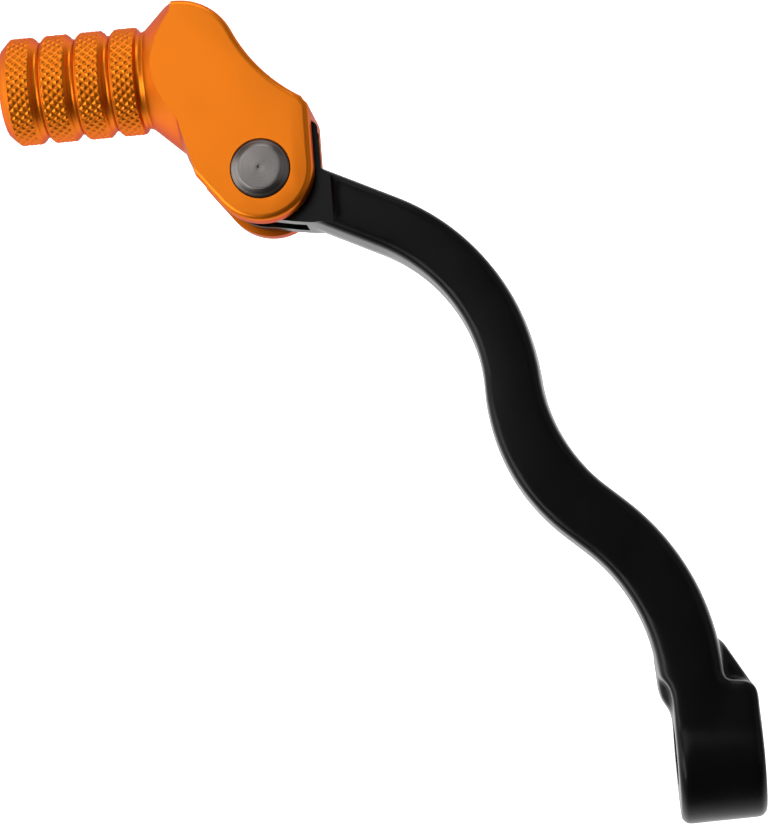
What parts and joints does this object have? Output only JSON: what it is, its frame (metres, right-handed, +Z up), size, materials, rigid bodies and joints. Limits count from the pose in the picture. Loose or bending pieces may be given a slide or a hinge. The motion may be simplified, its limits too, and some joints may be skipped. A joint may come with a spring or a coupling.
{
  "type": "motorcycle gear shift lever",
  "caption": "Motorcycle gear shift lever with a bent arm, a clamped serrated boss and a sprung folding tip that carries a knurled peg.",
  "frame": {"origin": "on the gearbox shaft's axis, at the middle of the clamp boss's width", "axes": "+X forward towards the tip, +Y outboard along the shaft's axis, +Z up; the fold pin lies along Z"},
  "size_m": [0.1712, 0.1416, 0.0404],
  "materials": {
    "arm_black": "satin black anodised forging",
    "tip_orange": "satin orange anodised",
    "pin": "turned stainless steel",
    "screw": "black oxide",
    "bolt": "zinc plated",
    "spring": "bright spring wire",
    "bush": "sintered bronze",
    "seal": "matt rubber"
  },
  "bodies": {
    "arm": {"lever_arm": "arm_black", "upper_bush": "bush", "lower_bush": "bush", "upper_seal": "seal", "lower_seal": "seal", "return_spring": "spring", "clamp_bolt": "bolt"},
    "tip": {"shift_tip": "tip_orange", "pivot_pin": "pin", "pin_screw": "screw"}
  },
  "joints": [
    {"name": "tip_fold", "type": "hinge", "parent": "arm", "child": "tip", "pos_m": [0.12182, 0.08077, 0.0114], "axis": [0, 0, 1], "range_deg": [0, 90], "stiffness_Nm_per_rad": 0.5, "springref_deg": -40.11, "deforming": ["return_spring"]}
  ]
}
